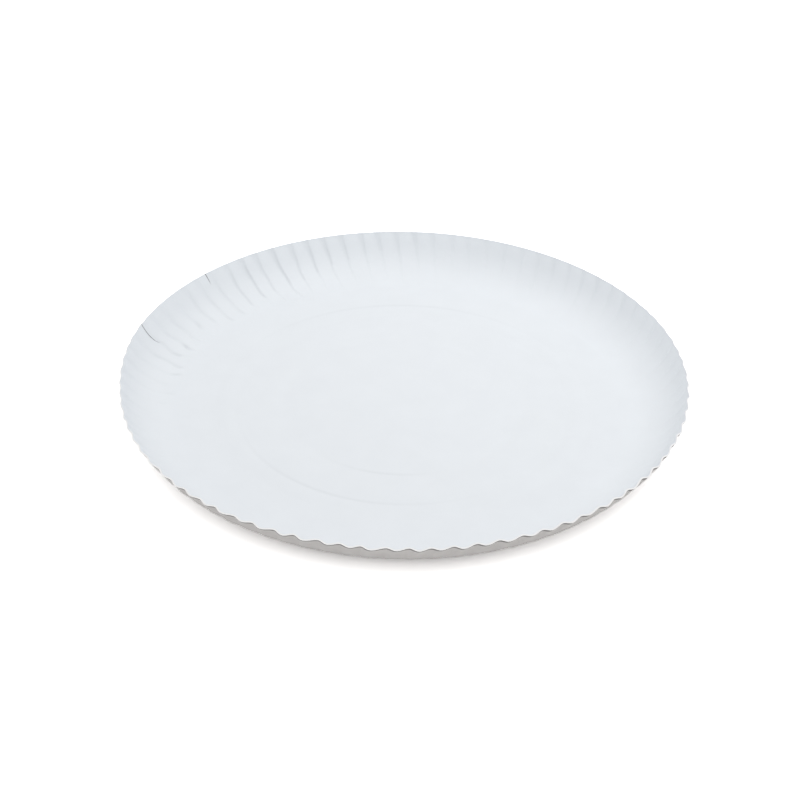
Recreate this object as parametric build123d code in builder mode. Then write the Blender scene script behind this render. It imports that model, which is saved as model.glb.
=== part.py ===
from build123d import *
from math import cos, radians, sin
import os

# Round paper plate pressed from one sheet of board. Millimetres, +Z up, the flat base on Z = 0.

# the board and the round outline
board = 0.45
rim_radius = 115.0
base_radius = 94.5

# the wall: a rounded corner that turns up from the base into a straight leaning lip
corner_radius = 18.0
lip_angle = 55.0
corner_steps = 4

# the pressed flutes: crest to trough at the rim, where they are deepest, and the degrees of flat at each turn
flute_count = 86
flute_depth = 1.4
first_crest_angle = 3.5
crest_flat = 1.15
trough_flat = 1.05

# the faint rings pressed into the upper face of the base
ring_radii = (49.0, 68.0, 76.5)
ring_width = 1.8
ring_depth = 0.16

# the two split pleats in the rim: plan angle, length down the lip, width at the rim, sideways run
slits = ((163.4, 11.0, 0.5, -3.1), (139.2, 5.2, 0.45, -0.55))

# how far the tools that trim the rim and split the pleats reach past the board
reach = 3.0

# places worked out from the sizes above
lip_foot_radius = base_radius + corner_radius * sin(radians(lip_angle))
lip_foot_height = board / 2 + corner_radius * (1 - cos(radians(lip_angle)))
lip_length = (rim_radius - lip_foot_radius) / cos(radians(lip_angle))
rim_height = lip_foot_height + lip_length * sin(radians(lip_angle))
wall_length = corner_radius * radians(lip_angle) + lip_length

# stations up the wall: slope of the wall, way up the lip, and the flute's depth sideways from its middle
stations = [(0.0, 0.0, 0.0)]
for step in range(1, corner_steps + 1):
    slope = radians(lip_angle * step / corner_steps)
    stations.append((slope, 0.0, flute_depth / 2 * corner_radius * slope / wall_length / sin(slope)))
slope = radians(lip_angle)
top_share = (wall_length + reach) / wall_length
stations.append((slope, lip_length + reach, flute_depth / 2 * top_share / sin(slope)))

# the corners of one flute: plan angle from the crest's middle, and the way that the corner leans
half_pitch = 180 / flute_count
trough_start = half_pitch - trough_flat / 2
flute_corners = ((-trough_start, 1), (-crest_flat / 2, -1), (crest_flat / 2, -1), (trough_start, 1))

with BuildPart() as plate:
    # the fluted dish from its underside, then hollowed by the same dish one board further in
    for skin, mode in ((board / 2, Mode.ADD), (-board / 2, Mode.SUBTRACT)):
        for slope, up_lip, wave in stations:
            middle = base_radius + (corner_radius + skin) * sin(slope) + up_lip * cos(slope)
            height = board / 2 + corner_radius - (corner_radius + skin) * cos(slope) + up_lip * sin(slope)
            outline = []
            for flute in range(flute_count):
                for turn, lean in flute_corners:
                    angle = radians(first_crest_angle + 360 * flute / flute_count + turn)
                    corner = middle + lean * wave
                    outline.append((corner * cos(angle), corner * sin(angle)))
            with BuildSketch(Plane.XY.offset(height)):
                with BuildLine():
                    Polyline(*outline, close=True)
                make_face()
        loft(ruled=True, mode=mode)

    # the rim cut square to the lip, and the base rings
    with BuildSketch(Plane.XZ):
        with Locations(Location((rim_radius, rim_height, 0), (0, 0, lip_angle))):
            Rectangle(2 * reach, 2 * reach, align=(Align.MIN, Align.CENTER))
        for ring_radius in ring_radii:
            with BuildLine():
                Polyline((ring_radius - ring_width / 2, board), (ring_radius, board - ring_depth),
                         (ring_radius + ring_width / 2, board), close=True)
            make_face()
    revolve(axis=Axis.Z, mode=Mode.SUBTRACT)

    # the split pleats
    for angle, length, width, run in slits:
        out_x = cos(radians(angle))
        out_y = sin(radians(angle))
        lip_normal = (-sin(radians(lip_angle)) * out_x, -sin(radians(lip_angle)) * out_y,
                      cos(radians(lip_angle)))
        lip = Plane(origin=(rim_radius * out_x, rim_radius * out_y, rim_height),
                    x_dir=(-out_y, out_x, 0), z_dir=lip_normal)
        with BuildSketch(lip):
            with BuildLine():
                Polyline((-width / 2, -reach), (width / 2, -reach), (width / 2, 0), (run, length),
                         (-width / 2, 0), close=True)
            make_face()
    extrude(amount=reach, both=True, mode=Mode.SUBTRACT)

plate.part.label = "plate"
os.makedirs("parts", exist_ok=True)
export_step(plate.part, "parts/plate.step")
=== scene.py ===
"""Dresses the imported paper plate: the fluted board, a pale floor, studio light and the camera."""

import logging
import math
import random
from collections.abc import Callable
from dataclasses import dataclass, field
from enum import Enum

import bpy
from mathutils import Matrix, Vector


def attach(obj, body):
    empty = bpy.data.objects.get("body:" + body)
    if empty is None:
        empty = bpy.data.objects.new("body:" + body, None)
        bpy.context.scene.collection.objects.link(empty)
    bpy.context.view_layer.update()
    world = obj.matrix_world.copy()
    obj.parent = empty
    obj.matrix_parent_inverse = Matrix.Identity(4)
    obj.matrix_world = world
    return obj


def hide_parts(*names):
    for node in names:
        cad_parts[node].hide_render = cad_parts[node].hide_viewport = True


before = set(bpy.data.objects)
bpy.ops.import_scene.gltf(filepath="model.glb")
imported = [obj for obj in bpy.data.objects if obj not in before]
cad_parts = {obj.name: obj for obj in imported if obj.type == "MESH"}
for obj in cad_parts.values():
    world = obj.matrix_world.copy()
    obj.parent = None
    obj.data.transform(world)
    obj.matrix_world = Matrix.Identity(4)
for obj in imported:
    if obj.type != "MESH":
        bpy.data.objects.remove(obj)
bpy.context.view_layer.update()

MM = 0.001
BODY = "root"
NODE = "plate"
# the point attribute that carries the strength of the painted shade along creases and in ring grooves
CREASE_SHADE_ATTRIBUTE = "crease_shade"

log = logging.getLogger("paper_plate")


class Face(Enum):
    """The faces of the board, in the order of the plate's material slots."""

    COATED = 0
    BARE = 1
    CUT = 2
    # the underside's last strip, a painted shadow line below the rim
    CRUSHED = 3


def linear(code: str) -> tuple[float, float, float, float]:
    """Turns an sRGB hex colour into linear light.

    Args:
        code: six hex digits with a leading hash.

    Returns:
        Red, green and blue in linear light, and an alpha of one.
    """
    shares = [int(code[i:i + 2], 16) / 255 for i in (1, 3, 5)]
    light = [s / 12.92 if s <= 0.04045 else ((s + 0.055) / 1.055) ** 2.4 for s in shares]
    return light[0], light[1], light[2], 1.0


def add_node(
    tree: bpy.types.NodeTree,
    kind: str,
    values: dict | None = None,
    links: dict | None = None,
    **settings: object,
) -> bpy.types.Node:
    """Adds a shader node with its settings, socket values and links.

    Args:
        tree: the node tree to add to.
        kind: the node's type name.
        values: numbers and colours for input sockets, by name or place.
        links: output sockets to join to input sockets, by name or place.
        settings: attributes of the node itself.

    Returns:
        The new node.
    """
    node = tree.nodes.new(kind)
    for name, value in settings.items():
        setattr(node, name, value)
    for name, value in (values or {}).items():
        node.inputs[name].default_value = value
    for name, source in (links or {}).items():
        tree.links.new(source, node.inputs[name])
    return node


def new_material(name: str) -> tuple[bpy.types.Material, bpy.types.NodeTree]:
    """Makes an empty node material.

    Args:
        name: the material's name.

    Returns:
        The material and its node tree, with no nodes in it.
    """
    material = bpy.data.materials.new(name)
    material.use_nodes = True
    material.node_tree.nodes.clear()
    return material, material.node_tree


def seen_directly(tree: bpy.types.NodeTree) -> bpy.types.NodeSocket:
    """Adds nodes that tell the rays which show a surface from those that only carry its light.

    Args:
        tree: the node tree to add to.

    Returns:
        A value of one for rays from the camera, a mirror or clear glass, and of nought for others.
    """
    path = add_node(tree, "ShaderNodeLightPath").outputs
    mirrored = add_node(
        tree, "ShaderNodeMath", links={0: path["Is Glossy Ray"], 1: path["Is Transmission Ray"]},
        operation="MAXIMUM",
    )
    seen = add_node(
        tree, "ShaderNodeMath", links={0: path["Is Camera Ray"], 1: mirrored.outputs["Value"]},
        operation="MAXIMUM",
    )
    return seen.outputs["Value"]


def make_active(piece: bpy.types.Object) -> None:
    """Selects one piece alone, and makes it the one that operators work on."""
    bpy.ops.object.select_all(action="DESELECT")
    piece.select_set(True)
    bpy.context.view_layer.objects.active = piece


def select_where(piece: bpy.types.Object, test: Callable[[bpy.types.MeshVertex], bool]) -> None:
    """Selects some of a piece's vertices and no others, and goes into edit mode.

    Args:
        piece: the piece to work on.
        test: says of a vertex whether it is selected.
    """
    make_active(piece)
    bpy.ops.object.mode_set(mode="EDIT")
    bpy.ops.mesh.select_mode(type="VERT")
    bpy.ops.mesh.select_all(action="DESELECT")
    bpy.ops.object.mode_set(mode="OBJECT")
    for vertex in piece.data.vertices:
        vertex.select = test(vertex)
    bpy.ops.object.mode_set(mode="EDIT")


def apply_modifiers(piece: bpy.types.Object) -> None:
    """Applies every modifier of a piece, from the first to the last.

    Args:
        piece: the piece whose modifiers become part of its mesh.
    """
    make_active(piece)
    for name in [modifier.name for modifier in piece.modifiers]:
        bpy.ops.object.modifier_apply(modifier=name)


@dataclass(frozen=True)
class BoardFinish:
    """White pressed paperboard, as one of its faces shows it.

    The colour runs between a light and a shade in faint clouds, where the fibres lie thicker or thinner.
    A face with a creased colour takes it as painted shade along creases and in ring grooves, by the mesh's
    attribute.
    """

    name: str
    light: str
    shade: str
    roughness: float
    specular: float
    cloud_mm: float
    fibre_mm: float
    relief_mm: float
    # the colour of the painted shade in creases and ring grooves
    creased: str = ""
    ior: float = 1.5
    cloud_range: tuple[float, float] = (0.3, 0.7)

    def material(self) -> bpy.types.Material:
        """Builds the node material of this face.

        Returns:
            The finished material.
        """
        material, tree = new_material(self.name)
        place = add_node(tree, "ShaderNodeTexCoord").outputs["Object"]
        clouds = add_node(
            tree, "ShaderNodeTexNoise",
            {"Scale": 1 / (self.cloud_mm * MM), "Detail": 3.0, "Roughness": 0.55},
            {"Vector": place},
        )
        # real fibres are some hundredths of a millimetre wide, too fine to show, so these are drawn coarser
        fibres = add_node(
            tree, "ShaderNodeTexNoise",
            {"Scale": 1 / (self.fibre_mm * MM), "Detail": 4.0, "Roughness": 0.6},
            {"Vector": place},
        )
        thin, thick = self.cloud_range
        spread = add_node(
            tree, "ShaderNodeMapRange",
            {"From Min": thin, "From Max": thick},
            {"Value": clouds.outputs["Fac"]},
        )
        colour = add_node(
            tree, "ShaderNodeMix",
            {6: linear(self.shade), 7: linear(self.light)},
            {0: spread.outputs["Result"]},
            data_type="RGBA",
        )
        # painted shade: the colour darkens along creases and in ring grooves, as far as the mesh's attribute
        # says
        if self.creased:
            crease_shade_amount = add_node(tree, "ShaderNodeAttribute", attribute_name=CREASE_SHADE_ATTRIBUTE)
            colour = add_node(
                tree, "ShaderNodeMix",
                {7: linear(self.creased)},
                {0: crease_shade_amount.outputs["Fac"], 6: colour.outputs[2]},
                data_type="RGBA",
            )
        relief = add_node(
            tree, "ShaderNodeBump",
            {"Strength": 1.0, "Distance": self.relief_mm * MM},
            {"Height": fibres.outputs["Fac"]},
        )
        surface = add_node(
            tree, "ShaderNodeBsdfPrincipled",
            {"Roughness": self.roughness, "Specular IOR Level": self.specular, "IOR": self.ior},
            {"Base Color": colour.outputs[2], "Normal": relief.outputs["Normal"]},
        )
        add_node(tree, "ShaderNodeOutputMaterial", links={"Surface": surface.outputs["BSDF"]})
        return material


# clay-coated and pressed smooth: an even cool white with a soft satin sheen;
# its creased colour is painted shade along the flutes' creases and in the ring grooves
COATED_BOARD = BoardFinish(
    name="coated_white_paperboard", light="#EBEFF3", shade="#E9EDF1",
    roughness=0.5, specular=0.3, cloud_mm=14.0, fibre_mm=0.8, relief_mm=0.01, creased="#DDE1E5",
)
# the uncoated back: a warmer, matt white with the cloudy look of plain pulp
BARE_BOARD = BoardFinish(
    name="bare_paperboard_back", light="#DFDCDA", shade="#D7D4D2",
    roughness=0.8, specular=0.2, cloud_mm=5.0, fibre_mm=0.6, relief_mm=0.02,
)
# the fresh cut through the core, in pure white, brighter than the coated face: its own white and a painted
# highlight that draws a thin white line along the rim
CUT_EDGE_AND_HIGHLIGHT = BoardFinish(
    name="cut_edge_and_painted_highlight", light="#FFFFFF", shade="#FBFBFB",
    roughness=0.9, specular=0.1, cloud_mm=1.5, fibre_mm=0.3, relief_mm=0.03,
)
# the underside's last strip, in dark grey: a painted shadow line below the white edge
RIM_SHADOW_BOARD = BoardFinish(
    name="painted_rim_shadow", light="#8A8886", shade="#7C7A78",
    roughness=0.9, specular=0.1, cloud_mm=1.5, fibre_mm=0.4, relief_mm=0.02,
)
# the torn core inside a split: rough and grey, and painted darker as the shade inside the slit, so that the
# split reads as a dark line
TORN_CORE_SHADE = BoardFinish(
    name="torn_core_painted_shade", light="#8E8B88", shade="#6F6C69",
    roughness=0.95, specular=0.1, cloud_mm=1.2, fibre_mm=0.3, relief_mm=0.04,
)


@dataclass(frozen=True)
class Stretch:
    """A stretch of the wall round a plan angle, over which something fades in to its most and out again."""

    middle_deg: float
    width_deg: float
    most: float

    def share(self, angle_deg: float) -> float:
        """Gives the amount at a plan angle, which is the most in the stretch's middle."""
        aside = (angle_deg - self.middle_deg + 180) % 360 - 180
        return self.most * math.exp(-(aside / self.width_deg) ** 2)


@dataclass(frozen=True)
class Flute:
    """One flute: a creased crest and the round trough after it.

    The turns say how far the crest runs from its even place at the foot and at the rim, in pitches.
    The shares say how far crest and trough stand out of the wall, and the growth how late the crest rises.
    The sharpness is 1 for a crest that is folded to an edge at the rim, and 0 for a round one.
    The pinch is the height of the small fold at the crest's foot. The crease shade, painted shade along the
    crease, starts at a way up the wall, fades out at another, and has a strength and a width in pitches.
    The fold shade is the strength of the short painted dark mark at the crease's foot. The wobble is how far
    a crumpled crest sways from side to side, in pitches. The sizes after it are the same for every flute: the
    number of sways, the share of the wall over which the crease shade starts and fades, and the fold mark's
    place and length.
    """

    foot_turn: float
    rim_turn: float
    crest_share: float
    trough_share: float
    growth: float
    rim_sharpness: float
    pinch: float
    # where and how strongly shade is painted along the crease and at its foot
    crease_foot: float
    crease_top: float
    crease_shade: float
    fold_shade: float
    crease_width: float
    wobble: float
    wobble_start: float
    sways: float = 2.2
    crease_start: float = 0.06
    crease_fade: float = 0.3
    fold_way: float = 0.08
    fold_length: float = 0.07

    def turn(self, way_up: float) -> float:
        """Gives the crest's run at a way up the wall, from 0 at the foot to 1 at the rim."""
        wave = math.sin(2 * math.pi * (self.sways * way_up + self.wobble_start))
        straight = self.foot_turn + (self.rim_turn - self.foot_turn) * way_up
        return straight + self.wobble * (1 - way_up) * wave

    def painted_shade(self, way_up: float) -> float:
        """Gives the strength of the shade painted along the crease.

        Args:
            way_up: way up the wall, from 0 at the foot to 1 at the rim.

        Returns:
            The painted shade of the crease's line, which starts short and fades out slowly, and the painted
            dark mark at its foot.
        """
        start = (way_up - self.crease_foot) / self.crease_start
        end = (self.crease_top - way_up) / self.crease_fade
        from_fold = (way_up - self.crease_foot - self.fold_way) / self.fold_length
        return self.crease_shade * max(0.0, min(1.0, start, end)) + self.fold_shade * math.exp(-from_fold ** 2)


@dataclass
class FluteRow:
    """The flutes pressed into the wall, each lapped a little to one side and none quite like the next.

    In the sharp stretch the crests are folded to an edge, with shade painted along their creases up to the
    rim, in the fold stretch they are crumpled at the foot, with painted dark marks there, and in the shallow
    stretches they are pressed less deep. Places up the wall run from 0 at its foot to 1 at the rim, and
    places and widths round it are in pitches.
    """

    count: int = 86
    first_crest_deg: float = 3.5
    depth: float = 1.34 * MM
    depth_loss: float = 0.35
    turn_spread: float = 0.08
    foot_skew: float = -0.4
    trough_places: tuple[float, float] = (0.15, 0.42)
    trough_sweep: float = 3.0
    foot_sharpness: float = 1.0
    rim_sharpness: tuple[float, float] = (0.1, 0.7)
    column_gather: float = 1.4
    trough_growth: float = 3.0
    early_growth: float = 0.5
    late_growth: float = 2.6
    growth_spread: float = 0.35
    sharp_stretch: Stretch = Stretch(121.0, 28.0, 1.0)
    shallow_stretches: tuple[Stretch, ...] = (
        Stretch(182.0, 40.0, 0.5), Stretch(68.0, 18.0, 0.65), Stretch(10.0, 35.0, 0.35),
    )
    fold_stretch: Stretch = Stretch(160.0, 18.0, 1.0)
    # painted dark marks at the feet of the folded flutes: their strength and how it beats from flute to flute
    fold_shade: float = 0.7
    fold_beat: float = 2.4
    flat_rim: Stretch = Stretch(151.0, 12.0, 0.8)
    flat_growth: float = 4.0
    pinch: float = 0.4 * MM
    pinch_shares: tuple[float, float] = (0.2, 1.0)
    pinch_way: float = 0.2
    pinch_length: float = 0.09
    # the painted crease shade: its place beside the crest, its widths and strengths, and its share on folded
    # flutes
    crease_place: float = 0.045
    crease_widths: tuple[float, float] = (0.07, 0.17)
    crease_shares: tuple[float, float] = (0.4, 1.0)
    folded_crease_shade: float = 0.45
    sharp_left_deg: float = 140.0
    sharp_foot: float = 0.07
    sharp_foot_rise: float = 0.0137
    sharp_foot_spread: float = 0.04
    sharp_top: float = 0.9
    sharp_top_rise: float = 0.015
    sharp_top_most: float = 1.1
    soft_left_deg: float = 165.0
    soft_feet: tuple[float, float] = (0.0, 0.18)
    soft_foot_rise: float = 0.01
    soft_lengths: tuple[float, float] = (0.35, 0.8)
    wobble: float = 0.16
    sharp_wobble: float = 0.35
    rounding: float = 1e-6
    seed: int = 11
    flutes: list[Flute] = field(default_factory=list)

    def __post_init__(self) -> None:
        """Draws the flutes, a little off their even places and depths."""
        draw = random.Random(self.seed)
        thin, soft = self.crease_widths
        blunt, keen = self.rim_sharpness
        for number in range(self.count):
            angle = (self.first_crest_deg + 360 * number / self.count) % 360
            sharp, folded = self.sharp_stretch.share(angle), self.fold_stretch.share(angle)
            growth = self.late_growth + (self.early_growth - self.late_growth) * max(sharp, folded)
            depth = 1 - sum(stretch.share(angle) for stretch in self.shallow_stretches)
            foot, top = self.crease_span(angle, sharp > folded, draw)
            self.flutes.append(Flute(
                foot_turn=self.foot_skew + draw.uniform(-self.turn_spread, self.turn_spread),
                rim_turn=draw.uniform(-self.turn_spread, self.turn_spread),
                crest_share=depth * (1 - draw.uniform(0, self.depth_loss)),
                trough_share=depth * (1 - draw.uniform(0, self.depth_loss)),
                growth=growth * (1 + draw.uniform(-self.growth_spread, self.growth_spread)),
                rim_sharpness=blunt + (keen - blunt) * sharp,
                pinch=self.pinch * folded * draw.uniform(*self.pinch_shares),
                crease_foot=foot,
                crease_top=top,
                # strengths of the painted crease shade and of the painted dark mark at the foot
                crease_shade=max(sharp, self.folded_crease_shade * folded) * draw.uniform(*self.crease_shares),
                fold_shade=self.fold_shade * folded * (0.5 + 0.5 * math.sin(self.fold_beat * number)),
                crease_width=thin + (soft - thin) * folded,
                wobble=self.wobble * max(folded, self.sharp_wobble * sharp),
                wobble_start=draw.uniform(0, 1),
            ))

    def crease_span(self, angle: float, is_sharp: bool, draw: random.Random) -> tuple[float, float]:
        """Draws where a flute's painted crease shade starts and ends.

        Sharp flutes are shaded along their crease up to the rim, from higher up the further right. The others
        are shaded only at the foot.

        Args:
            angle: plan angle of the flute's crest in degrees.
            is_sharp: whether the flute is a sharp one.
            draw: the row's random numbers.

        Returns:
            The ways up the wall of the crease's foot and top.
        """
        if is_sharp:
            to_right = self.sharp_left_deg - angle
            foot = self.sharp_foot + self.sharp_foot_rise * max(to_right, 0)
            foot += draw.uniform(-self.sharp_foot_spread, self.sharp_foot_spread)
            return foot, min(self.sharp_top_most, self.sharp_top + self.sharp_top_rise * to_right)
        foot = draw.uniform(*self.soft_feet) + self.soft_foot_rise * max(self.soft_left_deg - angle, 0)
        return foot, foot + draw.uniform(*self.soft_lengths)

    def press(self, angle: float, way_up: float) -> tuple[float, float, float]:
        """Gives where a point of the smooth wall goes when it is pressed.

        Args:
            angle: plan angle in radians.
            way_up: way up the wall, from 0 at the foot to 1 at the rim.

        Returns:
            The new plan angle in radians, the lift out of the wall's face, and the strength of the painted
            crease shade there.
        """
        turns = (math.degrees(angle) - self.first_crest_deg) / 360 * self.count
        number = math.floor(turns + self.rounding)
        part = turns - number
        crest_number = number if part < 0.5 else number + 1
        flute, crest = self.flutes[number % self.count], self.flutes[crest_number % self.count]
        # columns gather towards the crest, so that its crease stays thin
        aside = (2 * min(part, 1 - part)) ** self.column_gather
        low, high = self.trough_places
        crest_turns = crest_number + crest.turn(way_up)
        trough_turns = number + flute.turn(way_up) + low + (high - low) * way_up ** self.trough_sweep
        pressed_turns = crest_turns + (trough_turns - crest_turns) * aside
        sharpness = self.foot_sharpness + (crest.rim_sharpness - self.foot_sharpness) * way_up
        creased = 1 - math.sin(math.pi / 2 * aside)
        rounded = 0.5 + 0.5 * math.cos(math.pi * aside)
        profile = sharpness * creased + (1 - sharpness) * rounded
        # troughs deepen later than crests rise, so that none goes below the base
        rise = crest.crest_share * way_up ** crest.growth
        fall = flute.trough_share * way_up ** self.trough_growth
        pinch = crest.pinch * math.exp(-((way_up - self.pinch_way) / self.pinch_length) ** 2)
        # between the splits the rim is pulled flat again
        kept = 1 - self.flat_rim.share(math.degrees(angle)) * way_up ** self.flat_growth
        lift = self.depth / 2 * (profile * (rise + fall) - fall) * kept + pinch * (1 - aside) ** 2
        # painted shade along the crease, strongest on its line beside the crest
        from_crease = pressed_turns - crest_turns - self.crease_place
        painted_shade = crest.painted_shade(way_up) * math.exp(-(from_crease / crest.crease_width) ** 2)
        return math.radians(self.first_crest_deg + 360 * pressed_turns / self.count), lift, painted_shade


@dataclass
class SplitPleat:
    """A pleat that has split at the rim: a thin tapered slit down the lip.

    Each point of its path says how far it lies sideways and down the lip, and how wide the slit is there.
    """

    angle_deg: float
    path_mm: tuple[tuple[float, float, float], ...]
    reach: float = 2.5 * MM

    def cutter(self, lip_frame: Matrix, finish: bpy.types.Material) -> bpy.types.Object:
        """Models the slit's blade.

        Args:
            lip_frame: the lip's frame at the slit: sideways, down the lip, and out of its face.
            finish: the material that the slit's walls take.

        Returns:
            The blade, to be cut from the plate.
        """
        side, down, width = self.path_mm[0]
        bpy.ops.object.select_all(action="DESELECT")
        bpy.ops.mesh.primitive_plane_add(size=1.0)
        blade = bpy.context.active_object
        bpy.ops.object.mode_set(mode="EDIT")
        bpy.ops.transform.resize(value=(width * MM, 2 * self.reach, 1.0), center_override=(0, 0, 0))
        bpy.ops.transform.rotate(value=math.pi / 2, orient_axis="X", center_override=(0, 0, 0))
        bpy.ops.transform.translate(value=(side * MM, down * MM, 0))
        for next_side, next_down, next_width in self.path_mm[1:]:
            step = ((next_side - side) * MM, (next_down - down) * MM, 0)
            bpy.ops.mesh.extrude_region_move(TRANSFORM_OT_translate={"value": step})
            middle = (next_side * MM, next_down * MM, 0)
            bpy.ops.transform.resize(value=(next_width / width, 1.0, 1.0), center_override=middle)
            side, down, width = next_side, next_down, next_width
        bpy.ops.mesh.select_all(action="SELECT")
        bpy.ops.mesh.normals_make_consistent(inside=False)
        bpy.ops.object.mode_set(mode="OBJECT")
        blade.data.transform(lip_frame)
        blade.data.materials.append(finish)
        return blade


@dataclass
class PressedPlate:
    """The plate: one disc of board pressed into a flat base, a corner and a fluted lip."""

    board: float = 0.45 * MM
    rim_radius: float = 114.9 * MM
    base_radius: float = 92.7 * MM
    corner_radius: float = 22.5 * MM
    lip_deg: float = 59.0
    middle_radius: float = 20.0 * MM
    ring_radii: tuple[float, ...] = (49.0 * MM, 68.0 * MM, 76.5 * MM)
    ring_width: float = 2.6 * MM
    ring_depth: float = 0.14 * MM
    # where shade is painted in each ring's groove
    ring_groove_shades: tuple[Stretch, ...] = (
        Stretch(260.0, 18.0, 0.4), Stretch(244.0, 34.0, 0.45), Stretch(92.0, 40.0, 0.3),
    )
    columns_per_flute: int = 14
    corner_rows: int = 20
    lip_rows: int = 4
    rim_strip: float = 0.9 * MM
    edge_swell: float = 0.1 * MM
    rim_dent: Stretch = Stretch(188.0, 16.0, 1.0 * MM)
    smooth_deg: float = 40.0
    flutes: FluteRow = field(default_factory=FluteRow)
    splits: tuple[SplitPleat, ...] = (
        SplitPleat(163.4, (
            (0.15, -1.2, 0.2), (0.13, 0.0, 0.2), (0.05, 3.9, 0.3), (-0.4, 6.9, 0.3), (-1.3, 9.7, 0.2),
            (-2.5, 11.9, 0.03),
        )),
        SplitPleat(139.2, (
            (0.4, -1.2, 0.25), (0.25, 0.0, 0.25), (0.0, 1.9, 0.28), (-0.2, 3.5, 0.2), (-0.3, 5.4, 0.03),
        )),
    )

    @property
    def lip_length(self) -> float:
        """Length of the straight lip, from the corner to the rim."""
        slope = math.radians(self.lip_deg)
        return (self.rim_radius - self.base_radius - self.corner_radius * math.sin(slope)) / math.cos(slope)

    @property
    def wall_length(self) -> float:
        """Length of the wall from the base to the rim, along the board."""
        return self.corner_radius * math.radians(self.lip_deg) + self.lip_length

    @property
    def rim_height(self) -> float:
        """Height of the board's middle at the rim."""
        slope = math.radians(self.lip_deg)
        corner = self.corner_radius * (1 - math.cos(slope))
        return self.board / 2 + corner + self.lip_length * math.sin(slope)

    def wall_point(self, way: float) -> tuple[float, float, float]:
        """Finds a point of the board's middle on the wall.

        Args:
            way: length along the board from the base's edge.

        Returns:
            The point's radius and height, and the wall's slope there in radians.
        """
        slope = min(way / self.corner_radius, math.radians(self.lip_deg))
        up_lip = way - self.corner_radius * slope
        radius = self.base_radius + self.corner_radius * math.sin(slope) + up_lip * math.cos(slope)
        height = self.corner_radius * (1 - math.cos(slope)) + up_lip * math.sin(slope)
        return radius, self.board / 2 + height, slope

    def wall_ways(self) -> list[float]:
        """Lists the rows of the wall, with a narrow last one at the rim.

        Returns:
            Each row's length along the board from the base's edge.
        """
        corner = self.wall_length - self.lip_length
        ways = [corner * step / self.corner_rows for step in range(1, self.corner_rows + 1)]
        to_strip = self.lip_length - self.rim_strip
        ways += [corner + to_strip * step / self.lip_rows for step in range(1, self.lip_rows + 1)]
        return ways + [self.wall_length]

    def profile(self) -> list[tuple[float, float]]:
        """Lays out the board's middle from the base's inner circle to the rim.

        Returns:
            Radius and height of each row.
        """
        flat = self.board / 2
        rows = [(self.middle_radius, flat)]
        for ring in self.ring_radii:
            rows += [(ring + side * self.ring_width / 2, flat) for side in (-1, 0, 1)]
        rows.append((self.base_radius, flat))
        return rows + [self.wall_point(way)[:2] for way in self.wall_ways()]

    def turn_dish(self) -> bpy.types.Object:
        """Extrudes a circle row by row along the profile, and closes its middle.

        Returns:
            The smooth dish, one sheet with no thickness.
        """
        rows = self.profile()
        bpy.ops.object.select_all(action="DESELECT")
        bpy.ops.mesh.primitive_circle_add(
            vertices=self.flutes.count * self.columns_per_flute, radius=rows[0][0], fill_type="NOTHING",
        )
        dish = bpy.context.active_object
        dish.name = "pressed_plate"
        bpy.ops.object.mode_set(mode="EDIT")
        bpy.ops.transform.translate(value=(0, 0, rows[0][1]))
        for (radius, height), (next_radius, next_height) in zip(rows, rows[1:]):
            bpy.ops.mesh.extrude_edges_move(TRANSFORM_OT_translate={"value": (0, 0, next_height - height)})
            growth = next_radius / radius
            bpy.ops.transform.resize(value=(growth, growth, 1.0), center_override=(0, 0, 0))
        bpy.ops.object.mode_set(mode="OBJECT")
        limit = self.middle_radius + MM
        select_where(dish, lambda point: math.hypot(point.co.x, point.co.y) < limit)
        bpy.ops.mesh.edge_face_add()
        bpy.ops.mesh.poke()
        bpy.ops.mesh.select_all(action="SELECT")
        bpy.ops.mesh.normals_make_consistent(inside=False)
        bpy.ops.object.mode_set(mode="OBJECT")
        if dish.data.polygons[0].normal.z < 0:
            dish.data.flip_normals()
        return dish

    def press_flutes(self, dish: bpy.types.Object) -> None:
        """Presses the flutes into the wall, and paints shade along their creases.

        No operator gives each flute its own run and depth, so the wall's points are placed one by one.
        The dish's radius at a point tells its row.

        Args:
            dish: the smooth dish.
        """
        ways = {round(self.wall_point(way)[0] / MM, 2): way for way in self.wall_ways()}
        # the points' attribute holds the strength of the painted crease shade
        crease_shading = dish.data.attributes.new(CREASE_SHADE_ATTRIBUTE, "FLOAT", "POINT")
        for vertex in dish.data.vertices:
            way = ways.get(round(math.hypot(vertex.co.x, vertex.co.y) / MM, 2))
            if way is None:
                continue
            radius, height, slope = self.wall_point(way)
            way_up = way / self.wall_length
            angle, lift, painted_shade = self.flutes.press(math.atan2(vertex.co.y, vertex.co.x), way_up)
            crease_shading.data[vertex.index].value = painted_shade
            dent = self.rim_dent.share(math.degrees(angle)) * way_up ** 2
            out = radius - lift * math.sin(slope) - dent
            vertex.co = (out * math.cos(angle), out * math.sin(angle), height + lift * math.cos(slope))

    def give_thickness(self, dish: bpy.types.Object) -> None:
        """Gives the sheet the board's thickness, and each of its faces a finish.

        Args:
            dish: the fluted sheet.
        """
        for finish in (COATED_BOARD, BARE_BOARD, CUT_EDGE_AND_HIGHLIGHT, RIM_SHADOW_BOARD):
            dish.data.materials.append(finish.material())
        wall = dish.modifiers.new("board", "SOLIDIFY")
        wall.thickness = self.board
        wall.offset = 0.0
        wall.use_even_offset = True
        wall.use_rim = True
        wall.material_offset = Face.BARE.value
        wall.material_offset_rim = Face.CUT.value
        apply_modifiers(dish)
        # the last strip of the underside, which shares points with the cut edge, takes the painted rim shadow
        edge_points = set()
        for face in dish.data.polygons:
            if face.material_index == Face.CUT.value:
                edge_points.update(face.vertices)
        for face in dish.data.polygons:
            if face.material_index == Face.BARE.value and edge_points.intersection(face.vertices):
                face.material_index = Face.CRUSHED.value
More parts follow.
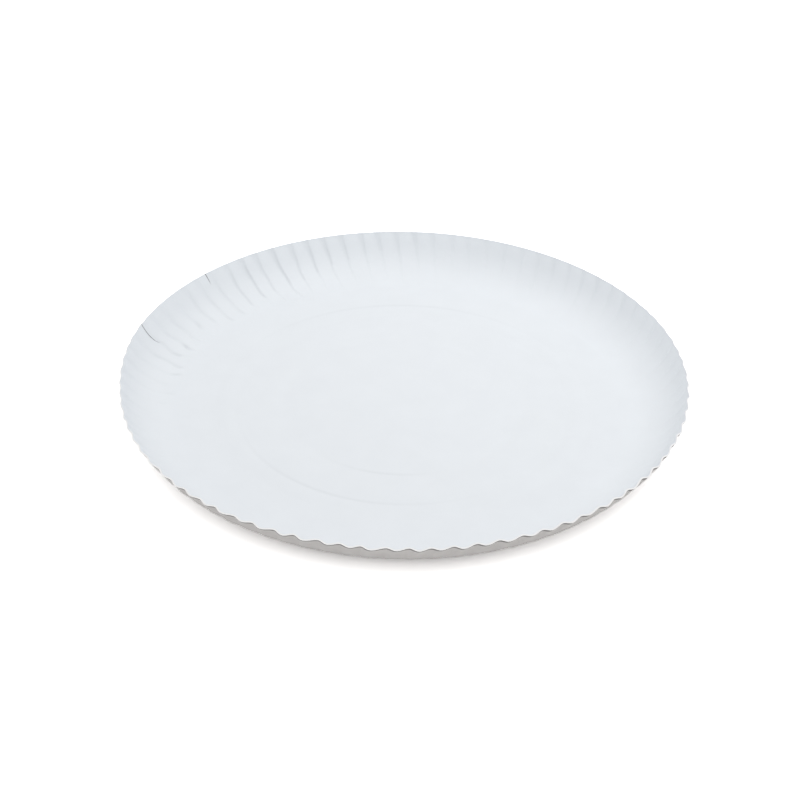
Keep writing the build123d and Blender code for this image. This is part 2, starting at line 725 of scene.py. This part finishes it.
        # the loose fibres of the cut edge swell a little
        select_where(dish, lambda point: point.index in edge_points)
        bpy.ops.transform.shrink_fatten(value=self.edge_swell)
        bpy.ops.object.mode_set(mode="OBJECT")
        # the even thickness leaves some points of the wall's foot a hair under the base
        for vertex in dish.data.vertices:
            vertex.co.z = max(vertex.co.z, 0.0)

    def press_rings(self, dish: bpy.types.Object) -> None:
        """Presses the faint rings into the upper face of the base, and paints shade in their grooves.

        Args:
            dish: the plate with its thickness.
        """
        # only a ring's middle row goes down, and the rows beside it are half a width away
        near = self.ring_width / 4
        for ring, stretch in zip(self.ring_radii, self.ring_groove_shades):
            select_where(
                dish,
                lambda point: point.co.z > self.board / 2 and abs(point.co.xy.length - ring) < near,
            )
            bpy.ops.transform.translate(value=(0, 0, -self.ring_depth))
            bpy.ops.object.mode_set(mode="OBJECT")
            # painted shade in the groove, only in the ring's own stretch
            crease_shading = dish.data.attributes[CREASE_SHADE_ATTRIBUTE].data
            for vertex in dish.data.vertices:
                if vertex.select:
                    angle = math.degrees(math.atan2(vertex.co.y, vertex.co.x))
                    crease_shading[vertex.index].value = stretch.share(angle)

    def lip_frame(self, angle_deg: float) -> Matrix:
        """Gives the lip's frame at the rim.

        Args:
            angle_deg: plan angle in degrees.

        Returns:
            A matrix whose axes run sideways, down the lip and out of its face.
        """
        turn, slope = math.radians(angle_deg), math.radians(self.lip_deg)
        out = Vector((math.cos(turn), math.sin(turn), 0))
        side = Vector((-out.y, out.x, 0))
        down = -out * math.cos(slope) - Vector((0, 0, math.sin(slope)))
        face = side.cross(down)
        place = out * self.rim_radius + Vector((0, 0, self.rim_height))
        turned = Matrix((side, down, face)).transposed().to_4x4()
        return Matrix.Translation(place) @ turned

    def split_pleats(self, dish: bpy.types.Object) -> None:
        """Cuts the split pleats through the board.

        Args:
            dish: the plate with its thickness.
        """
        # the slit's walls take the torn core's painted shade
        slit_shade = TORN_CORE_SHADE.material()
        for split in self.splits:
            blade = split.cutter(self.lip_frame(split.angle_deg), slit_shade)
            cut = dish.modifiers.new("split", "BOOLEAN")
            cut.operation = "DIFFERENCE"
            cut.solver = "EXACT"
            cut.material_mode = "TRANSFER"
            cut.object = blade
            apply_modifiers(dish)
            bpy.data.objects.remove(blade)

    def build(self) -> bpy.types.Object:
        """Models and dresses the whole plate.

        Returns:
            The finished plate.
        """
        plate = self.turn_dish()
        self.press_flutes(plate)
        self.give_thickness(plate)
        self.press_rings(plate)
        self.split_pleats(plate)
        make_active(plate)
        bpy.ops.object.shade_smooth_by_angle(angle=math.radians(self.smooth_deg))
        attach(plate, BODY)
        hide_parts(NODE)
        return plate


@dataclass
class StudioFloor:
    """The white paper sweep that the plate stands on, lit past white as in the photograph."""

    side: float = 12.0
    colour: str = "#E4E4E4"
    seen_white: float = 2.31
    gap: float = 0.02 * MM

    def build(self) -> bpy.types.Object:
        """Lays the floor and dresses it.

        Returns:
            The floor.
        """
        bpy.ops.object.select_all(action="DESELECT")
        bpy.ops.mesh.primitive_plane_add(size=self.side, location=(0, 0, -self.gap))
        floor = bpy.context.active_object
        floor.name = "paper_sweep"
        # matt white paper without sheen: an even ground with no edge, on which only the plate's shadow shows
        material, tree = new_material("white_paper_sweep")
        plain = add_node(tree, "ShaderNodeBsdfDiffuse", {"Color": linear(self.colour)})
        # the photograph shows it far over-exposed, so that only its deepest shadow is left
        white = add_node(tree, "ShaderNodeBsdfDiffuse", {"Color": (*[self.seen_white] * 3, 1.0)})
        surface = add_node(
            tree, "ShaderNodeMixShader",
            links={0: seen_directly(tree), 1: plain.outputs["BSDF"], 2: white.outputs["BSDF"]},
        )
        add_node(tree, "ShaderNodeOutputMaterial", links={"Surface": surface.outputs["Shader"]})
        floor.data.materials.append(material)
        return floor


class LampKind(Enum):
    """The kinds of lamp in the studio, by Blender's own names."""

    SOFTBOX = "AREA"
    BANK = "SUN"


@dataclass(frozen=True)
class Lamp:
    """A white lamp that faces the plate's middle.

    A softbox hangs near, and its size is its width in metres. A bank of lamps is far off, and its size is
    the width in radians at which the plate sees it.
    """

    name: str
    kind: LampKind
    azimuth_deg: float
    elevation_deg: float
    distance: float
    size: float
    strength: float

    def hang(self) -> bpy.types.Object:
        """Hangs the lamp in the studio.

        Returns:
            The lamp.
        """
        turn, lift = math.radians(self.azimuth_deg), math.radians(self.elevation_deg)
        towards = Vector((math.cos(lift) * math.cos(turn), math.cos(lift) * math.sin(turn), math.sin(lift)))
        light = bpy.data.lights.new(self.name, self.kind.value)
        light.energy = self.strength
        if self.kind is LampKind.SOFTBOX:
            light.shape = "DISK"
            light.size = self.size
        else:
            light.angle = self.size
        lamp = bpy.data.objects.new(self.name, light)
        lamp.rotation_euler = towards.to_track_quat("Z", "Y").to_euler()
        lamp.location = towards * self.distance
        bpy.context.scene.collection.objects.link(lamp)
        return lamp


@dataclass
class StudioLight:
    """A bright white room, a softbox near the plate behind it to the right, and a bank of lamps overhead."""

    room_strength: float = 0.815
    side_loss: float = 0.4
    room_colour: str = "#FFFFFF"
    lamps: tuple[Lamp, ...] = (
        Lamp("softbox", LampKind.SOFTBOX, 60.0, 60.0, distance=0.35, size=0.3, strength=0.215),
        Lamp("overhead_bank", LampKind.BANK, 300.0, 78.0, distance=2.0, size=0.61, strength=0.335),
    )

    def build(self) -> list[bpy.types.Object]:
        """Sets the room's light and hangs the lamps.

        Returns:
            The lamps.
        """
        world = bpy.data.worlds.new("white_room")
        world.use_nodes = True
        tree = world.node_tree
        tree.nodes.clear()
        # less light comes from the room's left and right than from its front, back and ceiling
        way = add_node(tree, "ShaderNodeTexCoord").outputs["Generated"]
        sideways = add_node(tree, "ShaderNodeSeparateXYZ", links={"Vector": way}).outputs["X"]
        squared = add_node(tree, "ShaderNodeMath", links={0: sideways, 1: sideways}, operation="MULTIPLY")
        lit = add_node(
            tree, "ShaderNodeMath", {1: -self.side_loss * self.room_strength, 2: self.room_strength},
            {0: squared.outputs["Value"]}, operation="MULTIPLY_ADD",
        )
        # the room itself looks white behind the plate
        strength = add_node(
            tree, "ShaderNodeMix", {3: 1.0}, {0: seen_directly(tree), 2: lit.outputs["Value"]},
            data_type="FLOAT",
        )
        room = add_node(
            tree, "ShaderNodeBackground",
            {"Color": linear(self.room_colour)},
            {"Strength": strength.outputs[0]},
        )
        add_node(tree, "ShaderNodeOutputWorld", links={"Surface": room.outputs["Background"]})
        bpy.context.scene.world = world
        return [lamp.hang() for lamp in self.lamps]


@dataclass
class PhotoCamera:
    """The photograph's own viewpoint, fitted to the rim and the flutes."""

    elevation_deg: float = 34.3685
    distance: float = 0.7993
    focal_px: float = 1950.35
    picture_px: float = 800.0
    sensor_mm: float = 36.0
    roll_deg: float = 0.8851
    right: float = -0.00114
    up: float = 0.00166
    clip: tuple[float, float] = (0.05, 50.0)

    def build(self) -> bpy.types.Object:
        """Places the camera.

        Returns:
            The scene's camera.
        """
        lift, roll = math.radians(self.elevation_deg), math.radians(self.roll_deg)
        back = Vector((0, -math.cos(lift), math.sin(lift)))
        level = Vector((1, 0, 0))
        rise = Vector((0, math.sin(lift), math.cos(lift)))
        right = math.cos(roll) * level + math.sin(roll) * rise
        up = math.cos(roll) * rise - math.sin(roll) * level
        lens = bpy.data.cameras.new("photo_view")
        lens.sensor_width = self.sensor_mm
        lens.sensor_fit = "HORIZONTAL"
        lens.lens = self.focal_px / self.picture_px * self.sensor_mm
        lens.clip_start, lens.clip_end = self.clip
        camera = bpy.data.objects.new("photo_view", lens)
        turned = Matrix((right, up, back)).transposed().to_4x4()
        place = back * self.distance + right * self.right + up * self.up
        camera.matrix_world = Matrix.Translation(place) @ turned
        bpy.context.scene.collection.objects.link(camera)
        bpy.context.scene.camera = camera
        return camera


def main() -> None:
    """Builds the plate and its studio, and reports each piece."""
    logging.basicConfig(level=logging.INFO, format="%(name)s: %(message)s")
    bpy.context.scene.view_settings.view_transform = "Standard"
    plate = PressedPlate().build()
    log.info("%s: %d faces, %d materials", plate.name, len(plate.data.polygons), len(plate.data.materials))
    floor = StudioFloor().build()
    log.info("%s: stage", floor.name)
    for lamp in StudioLight().build():
        log.info("%s: lamp", lamp.name)
    camera = PhotoCamera().build()
    log.info("%s: %.1f mm lens", camera.name, camera.data.lens)


if __name__ == "__main__":
    main()
